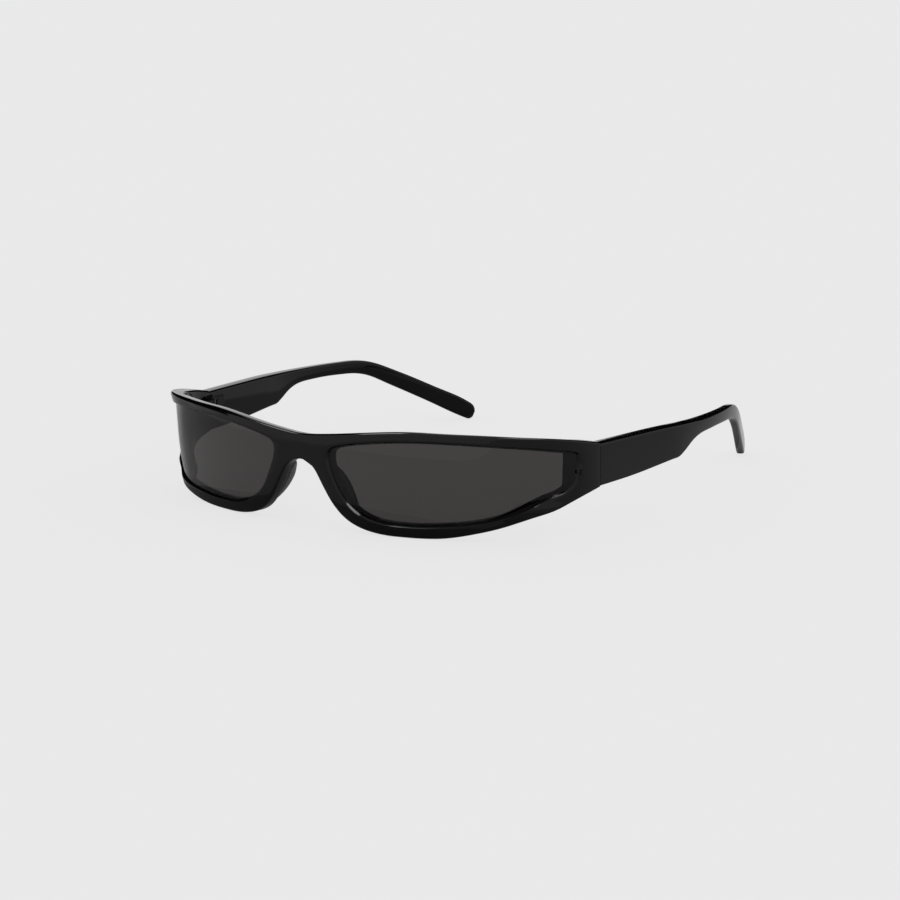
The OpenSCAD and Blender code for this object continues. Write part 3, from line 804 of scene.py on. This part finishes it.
# %% [markdown]
# Surface effects
#
# Polished black plastic is never perfectly even. It has a very slight orange peel from the mould, a breath of
# dust, and faint smudges where it was held. One node group makes all three, and each material sets how strong
# they are. A second group gives metal its fine drawn lines.


# %% Node group helpers
def new_group(name, inputs, outputs):
    group = bpy.data.node_groups.new(name, "ShaderNodeTree")
    for label, value in inputs:
        socket = group.interface.new_socket(label, in_out="INPUT", socket_type="NodeSocketFloat")
        socket.default_value = value
    for label, kind in outputs:
        group.interface.new_socket(label, in_out="OUTPUT", socket_type=kind)
    return group, group.nodes.new("NodeGroupInput"), group.nodes.new("NodeGroupOutput")


def noise(group, coordinates, scale, detail=2, roughness=0.5):
    node = group.nodes.new("ShaderNodeTexNoise")
    group.links.new(coordinates, node.inputs["Vector"])
    if isinstance(scale, (int, float)):
        node.inputs["Scale"].default_value = scale
    else:
        group.links.new(scale, node.inputs["Scale"])
    node.inputs["Detail"].default_value = detail
    node.inputs["Roughness"].default_value = roughness
    return node.outputs["Fac"]


def ranged(group, value, from_low, from_high, to_low, to_high):
    node = group.nodes.new("ShaderNodeMapRange")
    group.links.new(value, node.inputs["Value"])
    for label, number in zip(("From Min", "From Max", "To Min", "To Max"), (from_low, from_high, to_low, to_high)):
        node.inputs[label].default_value = number
    return node.outputs["Result"]


def sum_of(group, operation, a, b):
    node = group.nodes.new("ShaderNodeMath")
    node.operation = operation
    for socket, value in zip(node.inputs, (a, b)):
        if isinstance(value, (int, float)):
            socket.default_value = value
        else:
            group.links.new(value, socket)
    return node.outputs[0]


# %% Moulded surface group
moulded, inside, outside = new_group(
    "moulded surface",
    [("Base Roughness", 0.08), ("Smudge", 0.1), ("Peel", 1.0), ("Dust", 0.3)],
    [("Roughness", "NodeSocketFloat"), ("Dust Mask", "NodeSocketFloat"), ("Normal", "NodeSocketVector")])
place = moulded.nodes.new("ShaderNodeTexCoord").outputs["Object"]
smudge = ranged(moulded, noise(moulded, place, 90, 4, 0.6), 0.45, 0.75, 0, 1)
rough = sum_of(moulded, "ADD", inside.outputs["Base Roughness"], sum_of(moulded, "MULTIPLY", smudge, inside.outputs["Smudge"]))
moulded.links.new(rough, outside.inputs["Roughness"])
specks = ranged(moulded, noise(moulded, place, 4200, 1, 0.5), 0.74, 0.8, 0, 1)
patches = ranged(moulded, noise(moulded, place, 160, 3, 0.6), 0.4, 0.7, 0.2, 1)
dust = sum_of(moulded, "MULTIPLY", sum_of(moulded, "MULTIPLY", specks, patches), inside.outputs["Dust"])
moulded.links.new(dust, outside.inputs["Dust Mask"])
peel = moulded.nodes.new("ShaderNodeBump")
peel.inputs["Distance"].default_value = 0.00001
moulded.links.new(inside.outputs["Peel"], peel.inputs["Strength"])
moulded.links.new(noise(moulded, place, 420, 2, 0.4), peel.inputs["Height"])
moulded.links.new(peel.outputs["Normal"], outside.inputs["Normal"])
print("Group", moulded.name, "has", len(moulded.nodes), "nodes")

# %% Drawn metal group
drawn, inside, outside = new_group(
    "drawn metal", [("Base Roughness", 0.25), ("Lines", 0.2)],
    [("Roughness", "NodeSocketFloat"), ("Shade", "NodeSocketFloat"), ("Normal", "NodeSocketVector")])
stretch = drawn.nodes.new("ShaderNodeMapping")
stretch.inputs["Scale"].default_value = (1, 1, 14)
drawn.links.new(drawn.nodes.new("ShaderNodeTexCoord").outputs["Object"], stretch.inputs["Vector"])
lines = noise(drawn, stretch.outputs["Vector"], 900, 3, 0.6)
rough = sum_of(drawn, "ADD", inside.outputs["Base Roughness"], sum_of(drawn, "MULTIPLY", lines, inside.outputs["Lines"]))
drawn.links.new(rough, outside.inputs["Roughness"])
drawn.links.new(ranged(drawn, lines, 0.3, 0.7, 0.85, 1), outside.inputs["Shade"])
scratch = drawn.nodes.new("ShaderNodeBump")
scratch.inputs["Distance"].default_value = 0.000004
scratch.inputs["Strength"].default_value = 0.6
drawn.links.new(lines, scratch.inputs["Height"])
drawn.links.new(scratch.outputs["Normal"], outside.inputs["Normal"])

# %% [markdown]
# Materials
#
# The frame is black through and through, and what is seen of it is gloss: a dim picture of the floor and of the
# lamps. The lens is a clear grey plastic. The pads are the same plastic as the frame, a little less polished; their
# lighter base colour is a painted sheen for the bright surroundings they mirror.


# %% Materials
def new_material(name):
    material = bpy.data.materials.new(name)
    material.use_nodes = True
    return material, material.node_tree.nodes["Principled BSDF"], material.node_tree


def moulded_plastic(name, color, dust_color, roughness, smudge, peel, dust, specular):
    material, shader, tree = new_material(name)
    skin = tree.nodes.new("ShaderNodeGroup")
    skin.node_tree = moulded
    for label, value in (("Base Roughness", roughness), ("Smudge", smudge), ("Peel", peel), ("Dust", dust)):
        skin.inputs[label].default_value = value
    mix = tree.nodes.new("ShaderNodeMix")
    mix.data_type = "RGBA"
    mix.inputs["A"].default_value = (*color, 1)
    mix.inputs["B"].default_value = (*dust_color, 1)
    tree.links.new(skin.outputs["Dust Mask"], mix.inputs["Factor"])
    tree.links.new(mix.outputs["Result"], shader.inputs["Base Color"])
    tree.links.new(skin.outputs["Roughness"], shader.inputs["Roughness"])
    tree.links.new(skin.outputs["Normal"], shader.inputs["Normal"])
    shader.inputs["Specular IOR Level"].default_value = specular
    return material, shader


frame_black, _ = moulded_plastic("polished black plastic", (0.0022, 0.0022, 0.0022), (0.05, 0.05, 0.05),
                                 0.07, 0.08, 0.35, 0.35, 0.22)
# The pads' base colour, lighter than the frame's black, is painted sheen for the bright surroundings they mirror.
pad_black_painted_sheen, _ = moulded_plastic("satin black plastic with painted sheen", (0.036, 0.036, 0.036), (0.05, 0.05, 0.05),
                               0.18, 0.1, 0.3, 0.3, 0.5)
lens_smoke, lens_shader = moulded_plastic("smoke lens", (0.052, 0.049, 0.048), (0.06, 0.06, 0.06),
                                          0.0, 0.02, 0.04, 0.2, 0.1)
lens_shader.inputs["Transmission Weight"].default_value = 1
lens_shader.inputs["IOR"].default_value = 1.3


def drawn_metal(name, color, roughness):
    material, shader, tree = new_material(name)
    skin = tree.nodes.new("ShaderNodeGroup")
    skin.node_tree = drawn
    skin.inputs["Base Roughness"].default_value = roughness
    mix = tree.nodes.new("ShaderNodeMix")
    mix.data_type = "RGBA"
    mix.inputs["A"].default_value = tuple(0.7 * c for c in color) + (1,)
    mix.inputs["B"].default_value = (*color, 1)
    tree.links.new(skin.outputs["Shade"], mix.inputs["Factor"])
    tree.links.new(mix.outputs["Result"], shader.inputs["Base Color"])
    tree.links.new(skin.outputs["Roughness"], shader.inputs["Roughness"])
    tree.links.new(skin.outputs["Normal"], shader.inputs["Normal"])
    shader.inputs["Metallic"].default_value = 1
    return material


steel = drawn_metal("drawn steel", (0.58, 0.58, 0.6), 0.24)
black_lacquer, _ = moulded_plastic("black lacquer on metal", (0.006, 0.006, 0.006), (0.05, 0.05, 0.05),
                                   0.12, 0.1, 0.3, 0.3, 0.24)

# %% [markdown]
# Dress the pieces
#
# Each new piece takes the place of its working solid and moves with the same body. The hinge leaves, rivets, screws
# and core wires keep their solids; the core wires get the steel and the rest a black lacquer.

# %% Put pieces on their bodies
finish_piece(front, "front", "frame_front", frame_black)
finish_piece(lens_left, "front", "lens_left", lens_smoke)
finish_piece(lens_right, "front", "lens_right", lens_smoke)
finish_piece(pad_left, "front", "nose_pad_left", pad_black_painted_sheen)
finish_piece(pad_right, "front", "nose_pad_right", pad_black_painted_sheen)
finish_piece(temple_left, "arm_left", "temple_left", frame_black)
finish_piece(temple_right, "arm_right", "temple_right", frame_black)
for name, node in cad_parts.items():
    if name.startswith(("hinge", "front_rivets", "temple_rivets", "core_wire")):
        for material_slot in node.material_slots:
            material_slot.material = steel if name.startswith("core_wire") else black_lacquer

# %% [markdown]
# Floor, backdrop and light
#
# The photograph is a plain studio picture on white. The floor is pale and nearly fills itself with light, so that
# only a soft trace of shadow stays. Two soft lamps hang over the glasses, one on each side, and draw short bright
# lines along the rounded edges. A dark card far behind, which only the gloss sees, is painted shade: it keeps the top
# faces black, as the unlit end of a studio does. A second dark sheet on the left is painted shade as well and keeps
# the far side of the front black. A grey disc, also seen only in the gloss, is painted shade for the shaded floor
# under the glasses, which their lower faces mirror.

# %% World
world = bpy.data.worlds.new("studio")
bpy.context.scene.world = world
world.use_nodes = True
sky = world.node_tree
background = sky.nodes["Background"]
BACKDROP = (0.855, 0.855, 0.855, 1)
rays = sky.nodes.new("ShaderNodeLightPath")
seen = sky.nodes.new("ShaderNodeMath")
seen.operation = "MAXIMUM"
sky.links.new(rays.outputs["Is Camera Ray"], seen.inputs[0])
sky.links.new(rays.outputs["Is Transmission Ray"], seen.inputs[1])
seen_more = sky.nodes.new("ShaderNodeMath")
seen_more.operation = "MAXIMUM"
sky.links.new(seen.outputs[0], seen_more.inputs[0])
sky.links.new(rays.outputs["Is Glossy Ray"], seen_more.inputs[1])
tint = sky.nodes.new("ShaderNodeMix")
tint.data_type = "RGBA"
tint.inputs["A"].default_value = (0.7, 0.7, 0.7, 1)
tint.inputs["B"].default_value = BACKDROP
sky.links.new(seen_more.outputs[0], tint.inputs["Factor"])
sky.links.new(tint.outputs["Result"], background.inputs["Color"])

# %% Floor
bpy.ops.object.select_all(action="DESELECT")
bpy.ops.mesh.primitive_plane_add(size=12, location=(0, 0, 0))
floor = bpy.context.object
floor.name = "floor"
floor_paint, floor_shader, tree = new_material("pale floor")
floor_shader.inputs["Base Color"].default_value = (0.85, 0.85, 0.85, 1)
floor_shader.inputs["Roughness"].default_value = 0.9
floor_shader.inputs["Specular IOR Level"].default_value = 0
glow = tree.nodes.new("ShaderNodeEmission")
glow.inputs["Color"].default_value = BACKDROP
blend = tree.nodes.new("ShaderNodeMixShader")
path = tree.nodes.new("ShaderNodeLightPath")
either = tree.nodes.new("ShaderNodeMath")
either.operation = "MAXIMUM"
tree.links.new(path.outputs["Is Camera Ray"], either.inputs[0])
tree.links.new(path.outputs["Is Transmission Ray"], either.inputs[1])
share = tree.nodes.new("ShaderNodeMath")
share.operation = "MULTIPLY"
share.inputs[1].default_value = 0.85
tree.links.new(either.outputs[0], share.inputs[0])
tree.links.new(share.outputs[0], blend.inputs["Fac"])
tree.links.new(floor_shader.outputs["BSDF"], blend.inputs[1])
tree.links.new(glow.outputs["Emission"], blend.inputs[2])
tree.links.new(blend.outputs["Shader"], tree.nodes["Material Output"].inputs["Surface"])
floor.data.materials.append(floor_paint)


# %% Lamps
def soft_lamp(name, place, aim, width, height, radiance, diffuse=True):
    lamp = bpy.data.objects.new(name, bpy.data.lights.new(name, "AREA"))
    bpy.context.scene.collection.objects.link(lamp)
    lamp.data.shape = "RECTANGLE"
    lamp.data.size = width
    lamp.data.size_y = height
    lamp.data.energy = radiance * math.pi * width * height
    lamp.location = place
    lamp.rotation_euler = (Vector(aim) - Vector(place)).to_track_quat("-Z", "Y").to_euler()
    lamp.visible_diffuse = diffuse
    return lamp


soft_lamp("left lamp", (-0.545, -0.475, 1), (-0.545, -0.475, 0), 0.37, 0.55, 9, diffuse=False)
soft_lamp("right lamp", (0.475, -0.025, 1), (0.475, -0.025, 0), 0.55, 0.65, 9, diffuse=False)

# %% Sheets of painted shade that only the gloss sees
def matt_paint(name, grey):
    paint, shader, _ = new_material(name)
    shader.inputs["Base Color"].default_value = (grey, grey, grey, 1)
    shader.inputs["Roughness"].default_value = 1
    shader.inputs["Specular IOR Level"].default_value = 0
    return paint


def gloss_only(card, name, paint):
    """Makes a sheet of painted shade that only the gloss of the glasses sees."""
    card.name = name
    card.data.materials.append(paint)
    card.visible_camera = False
    card.visible_transmission = False
    card.visible_diffuse = False
    card.visible_shadow = False


# A black sheet of painted shade, standing for the unlit end of the studio in the gloss.
def painted_shade_sheet(name, middle, facing, width, height):
    bpy.ops.object.select_all(action="DESELECT")
    bpy.ops.mesh.primitive_plane_add(size=1, location=(0, 0, 0))
    card = bpy.context.object
    across = Vector((0, 0, 1)).cross(facing)
    turn = Matrix((across, (0, 0, 1), facing)).transposed().to_4x4()
    card.matrix_world = Matrix.Translation(middle) @ turn @ Matrix.Diagonal((width, height, 1, 1))
    gloss_only(card, name, painted_shade_black)


# The black sheets below are painted shade that darkens what the gloss of the glasses mirrors.
painted_shade_black = matt_paint("matt black painted shade", 0.002)
away = -Vector((back.x, back.y, 0)).normalized()
SHADE_FROM, SHADE_TO = (1.6 * math.tan(math.radians(a)) for a in (5.5, 55))
SHADE_LEFT, SHADE_RIGHT = 0.12, 3
painted_shade_sheet("painted shade behind", away * 1.6 + level_right * (SHADE_LEFT + SHADE_RIGHT) / 2 + Vector((0, 0, (SHADE_FROM + SHADE_TO) / 2)),
          -away, SHADE_RIGHT - SHADE_LEFT, SHADE_TO - SHADE_FROM)
painted_shade_sheet("painted shade on the left", Vector((-1.5, 0.3, 1.01)), Vector((1, 0, 0)), 2.4, 1.77)

# %% Painted floor shade a hair above the floor
# A grey disc that only the gloss sees: painted shade for the shaded floor under the glasses.
floor_shade_grey = matt_paint("grey painted floor shade", 0.46)
bpy.ops.object.select_all(action="DESELECT")
bpy.ops.mesh.primitive_circle_add(vertices=96, radius=0.085, fill_type="NGON", location=(0, 0, 0.0003))
gloss_only(bpy.context.object, "painted shade under the glasses", floor_shade_grey)
